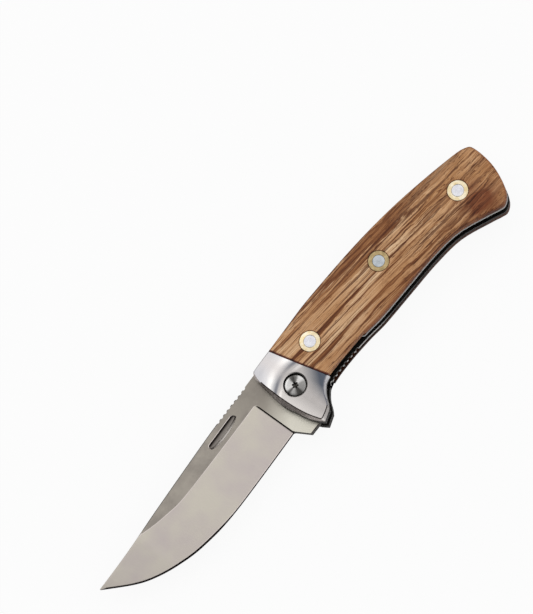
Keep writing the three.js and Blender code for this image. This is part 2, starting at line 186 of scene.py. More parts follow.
def blade_section(x, depth):
    """Half a slice across the blade, from its spine to its edge. Depth is how far the grind has gone in. The
    blade gets thinner to its point, and the grind line drops in a round corner at the plunge."""
    spine = height_on(blade_spine, x)
    edge = height_on(blade_edge, x)
    width = spine - edge
    half = blade_face + (point_half - blade_face) * max(0, (taper_start - x) / taper_run)
    chamfer = min(rim_chamfer, width / 20)
    corner = min(1, max(0, (x - corner_start) / corner_radius))
    corner_drop = corner_radius * (1 - math.sqrt(1 - corner ** 2))
    grind = min(height_on(grind_line, x) - corner_drop, spine - 2.4 * chamfer)
    shoulder = edge + min(edge_width(x), width / 3)
    thin = half + (min(edge_half, 0.8 * half) - half) * depth
    fall = (half - thin) / (grind - shoulder)
    ease = min(0.12, width / 20)
    lower = shoulder + ease
    return [(spine, 0), (spine, half - chamfer), (spine - chamfer, half), (grind + ease, half),
            (grind - ease, half - ease * fall), (lower, thin + ease * fall),
            (shoulder - 0.4 * ease, thin * (1 - 0.3 * depth)),
            (edge + 0.02, 0.03 + (half - 0.15) * (1 - depth)), (edge, 0)]


# Slices from the tang to the point. The grind goes in at the plunge, and its line turns a corner there.
ground = bmesh.new()
slices = [(-12.2, 0), (plunge, 0)]
slices += [(plunge - 0.6 * step / 6, math.sin(step / 6 * math.pi / 2)) for step in range(1, 7)]
slices += [(-13.2 - 0.1 * step, 1) for step in range(1, 8)]
slices += [(corner_start - belly_run * math.sin(step / 80 * math.pi / 2), 1) for step in range(1, 81)]
chain = [ground.verts.new((slices[0][0], y, z)) for y, z in blade_section(*slices[0])]
links = [ground.edges.new(pair) for pair in zip(chain, chain[1:])]
for x, depth in slices[1:]:
    drawn = bmesh.ops.extrude_edge_only(ground, edges=links)["geom"]
    links = [item for item in drawn if isinstance(item, bmesh.types.BMEdge)]
    chain = sorted(points_of(drawn), key=lambda vert: (-vert.co.y, vert.co.z))
    for vert, (y, z) in zip(chain, blade_section(x, depth)):
        vert.co = (x, y, z)
bmesh.ops.mirror(ground, geom=ground.verts[:] + ground.edges[:] + ground.faces[:],
                 matrix=Matrix.Identity(4), merge_dist=0.0005, axis="Z")
bmesh.ops.remove_doubles(ground, verts=ground.verts, dist=0.0005)
bmesh.ops.holes_fill(ground, edges=[edge for edge in ground.edges if edge.is_boundary], sides=0)
bmesh.ops.recalc_face_normals(ground, faces=ground.faces)

# The tang, from just behind the plunge round to the kick, with the shoulder that meets the stop pin
tang_radius = 7.1
shoulder_x = 0.79
kick_angle = math.radians(-110)
kick_reach = 14.4
shoulder_angle = math.acos(shoulder_x / tang_radius)
tang_outline = [(-12.45, spine_height + 0.08), (shoulder_x, spine_height)]
for step in range(33):
    angle = shoulder_angle + (kick_angle - shoulder_angle) * step / 32
    tang_outline.append((tang_radius * math.cos(angle), tang_radius * math.sin(angle)))
tang_outline += [(kick_reach * math.cos(kick_angle), kick_reach * math.sin(kick_angle)), (-9.6, -13.4),
                 (plunge + 0.15, edge_height)]
tang = slab(tang_outline, -blade_face, blade_face)
rims = [edge for edge in tang.edges if abs(edge.verts[0].co.z - edge.verts[1].co.z) < 0.01
        and min(vert.co.x for vert in edge.verts) > -12.4]
bmesh.ops.bevel(tang, geom=rims, offset=rim_chamfer, offset_type="OFFSET", segments=2, profile=0.5,
                affect="EDGES", material=-1, clamp_overlap=True)

# The pivot's hole and the thumb notches
pivot_hole = 2.6
first_notch = -10.7
notch_pitch = 2
notch_radius = 0.7
blade = worked(ground, tang, "UNION")
blade = worked(blade, bar(0, 0, pivot_hole, -3, 3))
for notch in range(8):
    x = first_notch - notch_pitch * notch
    blade = worked(blade, bar(x, height_on(blade_spine, x) + 0.25, notch_radius, -3, 3, 24))

# The nail nick: a pocket that is narrower at its floor, with a lip that flares out to the blade's face
nick_front = -33.45
nick_rear = -19.75
nick_top = 12.75
nick_foot = 9.9
nick_depth = 0.7
nick_lip = 0.14
nick_outline = smooth_line([
    (-32.6, nick_top), (-33.2, 12.45), (nick_front, 11.7), (-33.1, 10.95), (-31, 10.25), (-26.8, nick_foot),
    (-22.6, 10.25), (-20.2, 10.9), (nick_rear, 11.35), (-20.1, 12.2), (-20.7, nick_top)], 4)
nick_middle = Vector((-26.6, 11.4, 0))
nick = slab(nick_outline, blade_face - nick_depth, blade_face - nick_lip)
for vert in nick.verts:
    if vert.co.z < blade_face - 0.5:
        vert.co.y = nick_top - 0.08 - 0.62 * (nick_top - vert.co.y)
        vert.co.x = nick_middle.x + 0.97 * (vert.co.x - nick_middle.x)
nick_mouth = max(nick.faces, key=lambda face: face.calc_center_median().z)
flared = points_of(bmesh.ops.extrude_face_region(nick, geom=[nick_mouth])["geom"])
bmesh.ops.delete(nick, geom=[nick_mouth], context="FACES_ONLY")
bmesh.ops.scale(nick, vec=(1.06, 1.3, 1), space=Matrix.Translation(-nick_middle), verts=flared)
bmesh.ops.translate(nick, vec=(0, 0, 0.42), verts=flared)
bmesh.ops.recalc_face_normals(nick, faces=nick.faces)
blade = worked(blade, nick)

# Each face gets its finish and tone by where it lies: on the flats, in the grind, the nick, the rims or the
# edge
# The edge, rims and plunge get painted shade, and the grind line and the nick's lip a painted highlight
blade_tones = {"flat": 0, "bevel": 1, "edge": 2, "nick": 3, "rim": 4, "plunge": 5, "line": 6}
for face in blade.faces:
    x, y, z = face.calc_center_median()
    width = height_on(blade_spine, x) - height_on(blade_edge, x)
    above_edge = y - height_on(blade_edge, x)
    below_grind = height_on(grind_line, x) - y
    by_spine = height_on(blade_spine, x) - y < 0.9
    off_flat = abs(z) < blade_face - 0.01
    in_nick = (nick_front - 0.45 < x < nick_rear + 0.45 and nick_foot - 0.4 < y <= nick_top + 0.3
               and blade_face - nick_depth - 0.1 < z < blade_face - 0.002)
    if in_nick:
        kind = "line" if z > blade_face - nick_lip else "nick"
    elif by_spine and face.normal.y > 0.97:
        kind = "flat"
    elif by_spine and off_flat and x > -69:
        kind = "rim"
    elif x > plunge + 0.02:
        kind = "rim" if off_flat else "flat"
    elif x > plunge - 0.42 and below_grind > 1.8 and above_edge > 0.1:
        kind = "plunge"
    elif above_edge < min(edge_width(x), width / 3):
        kind = "edge"
    elif above_edge < min(edge_width(x) + 0.12, width / 2):
        kind = "line"
    elif abs(below_grind) < 0.14 and abs(z) > blade_face - 0.2:
        kind = "line"
    else:
        kind = "bevel" if below_grind > 0 else "flat"
    face.material_index = blade_tones[kind]


def tone(code):
    """A colour as a paint chart writes it."""
    levels = [int(code[place:place + 2], 16) / 255 for place in (0, 2, 4)]
    return (*Color(levels).from_srgb_to_scene_linear(), 1)


def node(tree, kind, values=None, **settings):
    """Adds a shader node, with values or joins for its inputs."""
    made = tree.nodes.new("ShaderNode" + kind)
    for name, value in settings.items():
        setattr(made, name, value)
    for name, value in (values or {}).items():
        if isinstance(value, bpy.types.NodeSocket):
            tree.links.new(value, made.inputs[name])
        else:
            made.inputs[name].default_value = value
    return made


def finish(name, roughness, metallic):
    """A new material with its own surface shader."""
    material = bpy.data.materials.new(name)
    material.use_nodes = True
    shader = material.node_tree.nodes["Principled BSDF"]
    shader.inputs["Roughness"].default_value = roughness
    shader.inputs["Metallic"].default_value = metallic
    return material, material.node_tree, shader


def effect(name, inputs, outputs):
    """A new shader effect with its named inputs and outputs."""
    group = bpy.data.node_groups.new(name, "ShaderNodeTree")
    for label, kind, value in inputs:
        socket = group.interface.new_socket(name=label, in_out="INPUT", socket_type="NodeSocket" + kind)
        socket.default_value = value
    for label, kind in outputs:
        group.interface.new_socket(name=label, in_out="OUTPUT", socket_type="NodeSocket" + kind)
    return group, group.nodes.new("NodeGroupInput"), group.nodes.new("NodeGroupOutput")


def uses(tree, group, values=None):
    """Places a shader effect in a material."""
    return node(tree, "Group", values, node_tree=group)


def joined(tree, end, sockets):
    """Joins sockets to the inputs of a node."""
    for name, socket in sockets.items():
        tree.links.new(socket, end.inputs[name])


def mixed(tree, factor, first, second, blend="MIX"):
    """Mixes two colours by a factor."""
    return node(tree, "Mix", {0: factor, 6: first, 7: second}, data_type="RGBA", blend_type=blend).outputs[2]


def shaded(tree, body, shade):
    """A colour made darker by another."""
    return mixed(tree, 1, body, shade, "MULTIPLY")


def ramp(tree, value, stops):
    """Turns a value into tones at the given stops."""
    made = node(tree, "ValToRGB", {"Fac": value})
    elements = made.color_ramp.elements
    places = list(stops)
    elements[0].position, elements[1].position = places[0], places[-1]
    for place in places[1:-1]:
        elements.new(place)
    for element, code in zip(elements, stops.values()):
        element.color = tone(code)
    return made.outputs["Color"]


def sum_of(tree, operation, *values):
    """One sum on up to three values."""
    return node(tree, "Math", dict(enumerate(values)), operation=operation).outputs[0]


def measured(tree, operation, first, second):
    """One number from two places."""
    return node(tree, "VectorMath", {0: first, 1: second}, operation=operation).outputs["Value"]


def spread(tree, value, low, high, first=0, last=1):
    """Goes from first to last while the value goes from low to high, and holds at both ends."""
    return node(tree, "MapRange", {
        "Value": value, "From Min": low, "From Max": high, "To Min": first, "To Max": last}).outputs["Result"]


def mapped(tree, place, turn=(0, 0, 0), stretch=(1, 1, 1)):
    """A place after a turn and a stretch of the axes."""
    return node(tree, "Mapping", {"Vector": place, "Rotation": turn, "Scale": stretch}).outputs["Vector"]


def noise(tree, place, scale, detail, roughness=0.5):
    """Even noise at a place."""
    return node(tree, "TexNoise", {
        "Vector": place, "Scale": scale, "Detail": detail, "Roughness": roughness}).outputs["Fac"]


def raised(tree, height, strength, distance):
    """The surface's slant from a height, with its distance in millimetres."""
    return node(tree, "Bump", {
        "Height": height, "Strength": strength, "Distance": distance * MM}).outputs["Normal"]


# The place on the knife, in millimetres from the pivot
on_knife, entry, leave = effect("on_knife", [], [("Place", "Vector")])
scaled = node(on_knife, "Mapping", {
    "Vector": node(on_knife, "TexCoord").outputs["Object"], "Location": -pivot / MM,
    "Scale": (1 / MM, 1 / MM, 1 / MM)})
joined(on_knife, leave, {"Place": scaled.outputs["Vector"]})


def knife_place(tree):
    """The place on the knife in a material."""
    return uses(tree, on_knife).outputs["Place"]


def parts_of(tree, place):
    """The X, Y and Z of a place."""
    return node(tree, "SeparateXYZ", {"Vector": place}).outputs


# Fine lines that a belt or a wheel leaves in steel
brushing, entry, leave = effect(
    "brushing",
    [("Lines", "Vector", (1, 1, 1)), ("Turn", "Vector", (0, 0, 0)), ("Depth", "Float", 0.1)],
    [("Shade", "Color"), ("Height", "Float")])
lines = mapped(brushing, knife_place(brushing), entry.outputs["Turn"], entry.outputs["Lines"])
fine = noise(brushing, lines, 1, 4, 0.7)
level = sum_of(brushing, "SUBTRACT", fine, 0.5)
depth = sum_of(brushing, "MULTIPLY_ADD", level, entry.outputs["Depth"], 1)
shade = node(brushing, "CombineColor", {"Red": depth, "Green": depth, "Blue": depth})
joined(brushing, leave, {"Shade": shade.outputs["Color"], "Height": fine})

# Cloudy marks from handling
handling, entry, leave = effect(
    "handling", [("Size", "Float", 0.2), ("Low", "Float", 0.25), ("High", "Float", 0.4)],
    [("Roughness", "Float"), ("Mask", "Float")])
cloud = noise(handling, knife_place(handling), entry.outputs["Size"], 3, 0.6)
span = spread(handling, cloud, 0.35, 0.65, entry.outputs["Low"], entry.outputs["High"])
joined(handling, leave, {"Roughness": span, "Mask": cloud})


def brushed(tree, shader, body, marks, lines, depth, bump, turn=(0, 0, 0)):
    """Gives a steel its colour under fine lines, the relief of the lines and the gloss of its marks."""
    cut = uses(tree, brushing, {"Lines": lines, "Turn": turn, "Depth": depth})
    joined(tree, shader, {
        "Base Color": shaded(tree, body, cut.outputs["Shade"]), "Roughness": marks.outputs["Roughness"],
        "Normal": raised(tree, cut.outputs["Height"], bump, 0.02)})


def ground_steel(name, dark, light, lines, depth, roughness, bump, turn=(0, 0, 0), cloud=0.12):
    """Steel with the lines of its grinding and cloudy marks, between two tones."""
    material, tree, shader = finish(name, roughness, 1)
    marks = uses(tree, handling, {"Size": cloud, "Low": roughness - 0.04, "High": roughness + 0.05})
    body = ramp(tree, marks.outputs["Mask"], {0.38: dark, 0.62: light})
    brushed(tree, shader, body, marks, lines, depth, bump, turn)
    return material


# The flats: painted shade by the bolster, and a painted highlight down a slant to the kick
flat_steel, tree, shader = finish("blade_flat", 0.36, 1)
parts = parts_of(tree, mapped(tree, knife_place(tree), (0, 0, math.radians(-18))))
marks = uses(tree, handling, {"Size": 0.14, "Low": 0.32, "High": 0.41})
body = ramp(tree, marks.outputs["Mask"], {0.38: "99928A", 0.62: "AAA399"})
body = mixed(tree, spread(tree, parts["X"], -24, -8, 0, 0.4), body, tone("7F7971"))
toward_kick_light = sum_of(tree, "MULTIPLY_ADD", marks.outputs["Mask"], 6, parts["Y"])
body = mixed(tree, spread(tree, toward_kick_light, 12.5, 0.5, 0, 0.74), body, tone("F0ECDE"))
brushed(tree, shader, body, marks, (0.5, 5, 1), 0.16, 0.5, (0, 0, 0.7))

# The nick: painted shade under its upper lip, and painted light down its sloping floor
nick_steel, tree, shader = finish("nick_cut", 0.4, 1)
down = spread(tree, parts_of(tree, knife_place(tree))["Y"], 12.9, 10)
body = ramp(tree, down, {
    0: "1E1918", 0.2: "332D2B", 0.36: "7A746F", 0.62: "8E8882", 0.82: "B4AEA8", 1: "E8E2DC"})
marks = uses(tree, handling, {"Size": 0.3, "Low": 0.34, "High": 0.45})
brushed(tree, shader, body, marks, (0.5, 8, 1), 0.2, 0.4)

# The bevel is painted paler than the flats, as a reflection, over its own grinding lines
blade_finishes = [
    flat_steel,
    ground_steel("blade_bevel", "CCC2BE", "D4CDC1", (5, 0.35, 1), 0.1, 0.34, 0.5, (0, 0, 0.06), 0.05),
    # The edge, rim and plunge tones are painted shade, and the grind line's a painted highlight
    ground_steel("blade_edge", "171312", "2A2523", (6, 0.4, 1), 0.2, 0.4, 0.4, (0, 0, 0.3)),
    nick_steel,
    ground_steel("blade_rim_shade", "48443F", "5A5651", (0.5, 8, 1), 0.2, 0.4, 0.4),
    ground_steel("plunge_shade", "1C1917", "2C2826", (5, 0.5, 1), 0.2, 0.5, 0.4),
    ground_steel("grind_line", "DCD2CD", "E6DCD7", (0.5, 5, 1), 0.08, 0.3, 0.3),
]
piece("blade_ground", blade, blade_finishes, "blade", ["blade"], 12)

# Pivot: a steel sleeve with a wide head that sits in the back bolster, and a screw with the same head in the
# front bolster. Both heads are turned, with a small star socket. Two bronze washers carry the tang.
head_radius = 3.65
head_thick = 1.4
screw_radius = 1.4
sleeve_radius = 2.5
pin_gap = 0.05
bore_floor = 4.03
socket_radius = 1.05
socket_depth = 0.9


def turned(profile, sides=72):
    """A round piece spun about the pivot from half a profile of radius and level."""
    bm = bmesh.new()
    points = [bm.verts.new((radius, 0, level)) for radius, level in profile]
    line = [bm.edges.new(pair) for pair in zip(points, points[1:])]
    bmesh.ops.spin(bm, geom=points + line, cent=(0, 0, 0), axis=(0, 0, 1), angle=math.tau,
                   steps=sides, use_merge=True)
    bmesh.ops.remove_doubles(bm, verts=bm.verts, dist=0.0005)
    bmesh.ops.recalc_face_normals(bm, faces=bm.faces)
    return bm


def turned_over(bm):
    """The piece mirrored to the back of the handle."""
    bmesh.ops.scale(bm, vec=(1, 1, -1), verts=bm.verts)
    bmesh.ops.reverse_faces(bm, faces=bm.faces)
    return bm


def star_socket(bottom, top):
    """The room of a six-lobed socket between two levels."""
    outline = []
    for step in range(72):
        angle = step * math.tau / 72
        radius = socket_radius + 0.17 * math.cos(6 * angle)
        outline.append((radius * math.cos(angle), radius * math.sin(angle)))
    return slab(outline, bottom, top)


def pivot_head(shank, root):
    """A domed head with its socket, on a shank of the given radius that reaches down to its root."""
    under = bore_floor + 0.02
    top = under + head_thick
    solid = turned([
        (0, root), (shank, root), (shank, under), (head_radius - 0.12, under), (head_radius, under + 0.12),
        (head_radius, top - 0.3), (head_radius - 0.05, top - 0.17), (head_radius - 0.3, top - 0.04),
        (head_radius - 0.9, top), (1.6, top - 0.02), (0, top - 0.04)])
    return worked(solid, star_socket(top - socket_depth, top + 1))


def off_line(tree, parts, x, y):
    """How far a place lies from an upright line at x and y."""
    level_place = node(tree, "CombineXYZ", {"X": parts["X"], "Y": parts["Y"]})
    return measured(tree, "DISTANCE", level_place.outputs[0], (x, y, 0))


# The heads' steel: fine turned rings, and a painted sweep of highlight and shade round the middle
head_steel, tree, shader = finish("turned_head", 0.24, 1)
parts = parts_of(tree, knife_place(tree))
angle = sum_of(tree, "ARCTAN2", parts["Y"], parts["X"])
ring_place = node(tree, "CombineXYZ", {"X": off_line(tree, parts, 0, 0)})
rings = noise(tree, ring_place.outputs[0], 9, 3)
around = node(tree, "CombineXYZ", {"X": angle})
sweep = noise(tree, around.outputs[0], 3, 3)
turn_share = spread(tree, angle, -math.pi, math.pi)
wavering = sum_of(tree, "MULTIPLY_ADD", sweep, 0.04, turn_share)
body = ramp(tree, wavering, {
    0.02: "6F6C6A", 0.06: "C4C2C0", 0.12: "A8A6A4", 0.17: "565452", 0.24: "4A4846", 0.29: "9E9C9A",
    0.43: "ACAAA8", 0.49: "F4F2F0", 0.55: "F4F2F0", 0.6: "8E8C8A", 0.66: "4A4846", 0.72: "666462",
    0.77: "E4E2E0", 0.95: "F4F2F0", 1: "6A6866"})
# Painted shade darkens the socket and the sides of the head
from_middle = sum_of(tree, "ABSOLUTE", parts["Z"])
body = shaded(tree, body, ramp(tree, spread(tree, from_middle, 4.9, 5.35), {0: "5A5856", 1: "FFFFFF"}))
joined(tree, shader, {
    "Base Color": shaded(tree, body, ramp(tree, rings, {0.35: "C8C8C8", 0.6: "FFFFFF"})),
    "Normal": raised(tree, rings, 0.6, 0.03)})
screw = pivot_head(screw_radius, -1.8)
piece("pivot_screw_turned", screw, [head_steel], "handle", ["pivot_screw"])
sleeve = turned_over(pivot_head(sleeve_radius, -bore_floor + 0.01))
sleeve = worked(sleeve, bar(0, 0, screw_radius + pin_gap, -bore_floor + head_thick, 10, 48))
piece("pivot_sleeve", sleeve, [head_steel], "handle", ["pivot_barrel"])

# Liners: two plates of stamped steel, one inside each cover. The back one has a springy leg cut out of it,
# the lock bar, with thumb notches. A stop pin, three spacer pins and the black spacer hold the plates apart.
# These, the washers, the ball that holds the blade closed and the bolster screws get new finishes only.
liner_inner = 1.86
liner_middle = 2.535
bar_root = 58
bar_lean = -0.01965
crest_slope = 0.0253
crest_drop = 7.196


def stamped_steel(name, bright, far_shade, lean, notched):
    """Stamped steel, painted dark on its flats as shade, and bright on its sawn edges, partly as a painted
    highlight that turns to painted shade further back. The plate leans by so much a millimetre along the
    handle.
    Among the thumb notches only their crests get the painted highlight."""
    material, tree, shader = finish(name, 0.42, 1)
    parts = parts_of(tree, knife_place(tree))
    level = sum_of(tree, "MULTIPLY_ADD", parts["X"], lean, -bar_root * lean - liner_middle)
    off_level = sum_of(tree, "ADD", sum_of(tree, "ABSOLUTE", parts["Z"]), level)
    edge_on = spread(tree, sum_of(tree, "ABSOLUTE", off_level), 0.56, 0.66, 1, 0)
    past_notches = spread(tree, parts["X"], 24, 26)
    crest_line = sum_of(tree, "MULTIPLY_ADD", parts["X"], crest_slope, crest_drop)
    crest_highlight = spread(tree, sum_of(tree, "ADD", parts["Y"], crest_line), 0.08, 0.2, notched, 0)
    share = sum_of(tree, "MULTIPLY", edge_on, sum_of(tree, "MAXIMUM", past_notches, crest_highlight))
    # Painted highlight on the edges, turning to painted shade further back, and painted shade on the flats
    lit = mixed(tree, spread(tree, parts["X"], 31, 39), tone(bright), tone(far_shade))
    body = mixed(tree, share, tone("343230"), lit)
    marks = uses(tree, handling, {"Size": 0.2, "Low": 0.36, "High": 0.5})
    brushed(tree, shader, body, marks, (0.4, 7, 1), 0.25, 0.5, (0, 0, 0.1))
    return material


# The back liner's edges are painted darker than the front's, as shade
front_liner_steel = stamped_steel("front_liner_steel", "C4C3C1", "C4C3C1", 0, 0)
back_liner_shaded_steel = stamped_steel("back_liner_shaded_steel", "6A6866", "4A4846", 0, 0)
lock_steel = stamped_steel("lock_steel", "D8D7D5", "4A4846", bar_lean, 1)
pin_steel = ground_steel("pin_steel", "9FA0A2", "B9BABC", (4, 4, 0.4), 0.2, 0.32, 0.4)
ball_steel = ground_steel("ball_steel", "B4B5B7", "CFD0D2", (5, 5, 5), 0.1, 0.18, 0.2)
washer_bronze = ground_steel("washer_bronze", "9C7A45", "B9945C", (3, 3, 1), 0.2, 0.38, 0.4, (0, 0, 0.4))

spacer_black, tree, shader = finish("spacer_black", 0.55, 0)
marks = uses(tree, handling, {"Size": 0.9, "Low": 0.5, "High": 0.65})
grit = uses(tree, brushing, {"Lines": (7, 7, 7), "Depth": 0.2})
joined(tree, shader, {
    "Base Color": ramp(tree, marks.outputs["Mask"], {0.35: "0E0D0D", 0.65: "1B1A19"}),
    "Roughness": marks.outputs["Roughness"], "Normal": raised(tree, grit.outputs["Height"], 0.5, 0.03)})

for material, names in (
        (front_liner_steel, ["liner_front"]), (back_liner_shaded_steel, ["liner_back"]), (lock_steel, ["lock_bar"]),
        (ball_steel, ["detent_ball"]), (washer_bronze, ["washer_front", "washer_back"]),
        (spacer_black, ["back_spacer"]), (pin_steel, [
            "stop_pin", "spacer_pin_1", "spacer_pin_2", "spacer_pin_3", "bolster_screw_front_1",
            "bolster_screw_front_2", "bolster_screw_back_1", "bolster_screw_back_2"])):
    for name in names:
        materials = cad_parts[name].data.materials
        materials.clear()
        materials.append(material)

# Bolsters: a steel block at the front of each side, with a broad chamfer, rolled off towards the spine and
# hollowed towards the belly. A counterbore takes the pivot's head. Each is held by two screws from the
# inside, out of sight.
cover_inner = 3.23
handle_face = 6.2
bolster_front = -7.9
nub_x = -4.1
nub_y = -15.6
slot_height = -7.5
belly_height = -10.5
butt_x = 99.6
hook_height = -20.7
slot_start = 12
beyond = 12
outside = 30


def run_x(share):
    """A share of the way from the start of the handle's slot side to its butt."""
    return slot_start + share * (butt_x - slot_start)


# The handle's outline: its front end, the nub at the belly, then the slot side, the butt and the spine
front_line = smooth_line([
    (bolster_front + 2.3, spine_height - 1.1), (bolster_front + 1.5, 0.74 * spine_height),
    (bolster_front, 0), (bolster_front + 0.6, nub_y / 3), (bolster_front + 1.4, 0.65 * nub_y),
    (nub_x - 1.3, nub_y + 2.2)], 5)
nub_line = [Vector((nub_x, nub_y)), Vector((0, nub_y + 1.3))]
long_line = smooth_line([
    (-0.2 * nub_x, nub_y + 2), (-0.45 * nub_x, nub_y + 3.1), (-0.78 * nub_x, nub_y + 4.8),
    (-1.2 * nub_x, nub_y + 6.3), (-1.75 * nub_x, slot_height - 0.55), (slot_start, slot_height),
    (run_x(0.09), slot_height - 0.2), (28.6, 1.14 * slot_height), (run_x(0.27), 0.914 * belly_height),
    (run_x(0.43), belly_height), (run_x(0.57), 1.08 * belly_height), (run_x(0.7), 1.265 * belly_height),
    (run_x(0.82), 0.874 * hook_height), (run_x(0.86), hook_height + 0.8), (butt_x - 9.7, hook_height),
    (butt_x - 6.5, hook_height + 1.6), (butt_x - 3.6, hook_height + 5.6), (butt_x - 1, -0.6 * spine_height),
    (butt_x, -0.1 * spine_height), (butt_x - 1.4, 0.11 * spine_height), (butt_x - 8.5, 0.29 * spine_height),
    (run_x(0.66), 0.64 * spine_height), (run_x(0.43), 0.855 * spine_height),
    (run_x(0.17), 0.985 * spine_height), (18, spine_height)], 5)
handle_outline = front_line + nub_line + long_line + [Vector((bolster_front + 3.5, spine_height))]

# The joint between bolster and scale leans back towards the belly, a little bent
joint_x = 3.9
joint_top = 15.7
joint_lean = 4
joint_bend = 1.7
joint_drop = 25.2
joint_line = []
for step in range(13):
    share = step / 12
    joint_line.append((joint_x + joint_lean * share + joint_bend * share ** 2,
                       joint_top - (joint_drop - 1) * share - share ** 2))


def gridded(bm, x_cuts, y_cuts):
    """The piece cut in a fine grid, so that its face can be shaped."""
    bmesh.ops.triangulate(bm, faces=bm.faces)
    for axis, cuts in ((Vector((1, 0, 0)), x_cuts), (Vector((0, 1, 0)), y_cuts)):
        for place in cuts:
            bmesh.ops.bisect_plane(bm, geom=bm.verts[:] + bm.edges[:] + bm.faces[:], dist=0.0005,
                                   plane_co=axis * place, plane_no=axis)
    return bm


# The roll towards the spine, the bolster's arched line, and the point and slant that its hollow falls from
roll_start = 5
roll_radius = 38
arch_x = 1
arch_height = 5.8
arch_bend = 0.04
hollow_x = 2
hollow_y = -12
down_x = 0.74
down_y = -0.673


def spine_roll(x, y):
    """How far the cover's face falls away towards the spine."""
    return max(0, y - roll_start) ** 2 / (2 * roll_radius)


def bolster_fall(x, y):
    """The bolster falls away sooner, past an arched line, with a shallow trough below the line at both ends.
    Behind the pivot it also falls away towards the belly, in a hollow."""
    past_arch = y - arch_height + arch_bend * (x - arch_x) ** 2
    roll = max(0, past_arch) * 0.06 + max(0, past_arch) ** 2 / 90
    beside_pivot = min(1, max(0, (abs(x) - 1.5) / 3.5))
    trough = 0.12 * beside_pivot * math.sin(max(0, min(1, (past_arch + 3) / 3)) * math.pi) ** 2
    into_hollow = max(0, 3 + down_x * (x - hollow_x) + down_y * (y - hollow_y))
    behind_pivot = min(1, max(0, (x - 1) / 5))
    hollow = into_hollow ** 2 / 34 * behind_pivot ** 2 * (3 - 2 * behind_pivot)
    return max(roll, spine_roll(x, y)) + trough + hollow


def lowered(bm, fall):
    """The piece with its face shaped, while its inner side stays flat."""
    for vert in bm.verts:
        share = (vert.co.z - cover_inner) / (handle_face - cover_inner)
        vert.co.z -= fall(vert.co.x, vert.co.y) * max(0, share)
    return bm


# The block reaches past the joint until it is cut off there, and its face lies inside the chamfer
block_end = 16
bolster_outline = [mark for mark in handle_outline[:-1] if mark.x < block_end]
bolster_outline += [Vector((block_end, spine_height)), handle_outline[-1]]
face_line = smooth_line([
    (-4.7, spine_height - 0.5), (-6, 10.2), (-6.4, 5), (-6.5, 0), (-6.35, -4.2), (-5.9, -8.4), (-5.25, -11.5),
    (-4.4, -14.45)], 5)
face_line += smooth_line([
    (-3.5, -14.55), (-1.5, -14.1), (0.7, -13.3), (1.9, -11.9), (3.1, -10.2), (4.6, -8.75), (7, -7.4),
    (10, -6.6), (15.5, -6.5)], 3)
face_line += [Vector((15.5, spine_height - 0.25)), Vector((-4.4, spine_height - 0.25))]
chamfer_drop = 1.35
spine_drop = 0.3
crease_width = 0.36
bore_radius = 4.03
bore_mouth = 4.4
bore_bevel = 0.3
bolster_tones = {"face": 0, "rim": 1, "painted_shade": 2, "crease": 3, "bright": 4, "bend": 5}


def bolster():
    """The front bolster: a block with its chamfer bridged up to its face, no more than eased at the spine, and
    a thin strip round the face, painted dark as the shade of a crease. It is then shaped, cut off at the
    joint and bored for the pivot."""
    block = slab(bolster_outline, cover_inner, handle_face - chamfer_drop)
    # Walls that face away from the spine get painted shade
    for wall in block.faces:
        dark = abs(wall.normal.z) < 0.5 and wall.normal.y < 0.6
        wall.material_index = bolster_tones["painted_shade" if dark else "face"]
    top = max(block.faces, key=lambda face: face.calc_center_median().z)
    edge_loop = top.edges[:]
    bmesh.ops.delete(block, geom=[top], context="FACES_ONLY")
    for vert in block.verts:
        if vert.co.z > 4 and vert.co.y > spine_height - 0.1:
            vert.co.z = handle_face - spine_drop
    face = block.faces.new([block.verts.new((mark.x, mark.y, handle_face)) for mark in face_line])
    chamfer = bmesh.ops.bridge_loops(block, edges=edge_loop + face.edges[:])["faces"]
    crease = bmesh.ops.inset_region(block, faces=[face], thickness=crease_width, use_boundary=True,
                                    use_even_offset=True)["faces"]
    bmesh.ops.recalc_face_normals(block, faces=block.faces)
    face.material_index = bolster_tones["face"]
    # The front chamfer gets a warm painted reflection, the lower right chamfer a painted highlight
    for band in chamfer:
        middle = band.calc_center_median()
        if band.normal.x < -0.25:
            band.material_index = bolster_tones["rim"]
        elif middle.x > 2.2 and middle.y < 0:
            band.material_index = bolster_tones["bright"]
    # The strip round the face gets painted shade, softer along the lower right
    for strip in crease:
        middle = strip.calc_center_median()
        if middle.x < 0.6 and middle.y < 10.5:
            strip.material_index = bolster_tones["crease"]
        elif middle.y < -6.7:
            strip.material_index = bolster_tones["bend"]
    gridded(block, [x / 2 for x in range(-15, 19)], [y / 2 for y in range(-30, 30)])
    lowered(block, bolster_fall)
    behind_joint = joint_line + [(40, -outside), (40, joint_top)]
    solid = worked(block, slab(behind_joint, 0, beyond))
    hole_radius = sleeve_radius + pin_gap
    counterbore = turned([
        (0, 0), (hole_radius, 0), (hole_radius, bore_floor), (bore_radius, bore_floor),
        (bore_radius, handle_face - bore_bevel), (bore_mouth, handle_face + 0.05), (bore_mouth, beyond),
        (0, beyond)], 96)
    solid = worked(solid, counterbore)
    # The counterbore's wall and floor get painted shade
    for face in solid.faces:
        middle = face.calc_center_median()
        if middle.xy.length < bore_radius + 0.02 and middle.z < handle_face - bore_bevel:
            face.material_index = bolster_tones["painted_shade"]
    return solid


# The face's steel gets painted light on the roll above the arch, and painted shade in the hollow below the
# crease
bolster_steel, tree, shader = finish("bolster_steel", 0.23, 1)
parts = parts_of(tree, knife_place(tree))
sideways = sum_of(tree, "SUBTRACT", parts["X"], arch_x)
past_arch = sum_of(tree, "MULTIPLY_ADD", sum_of(tree, "POWER", sideways, 2), arch_bend, parts["Y"])
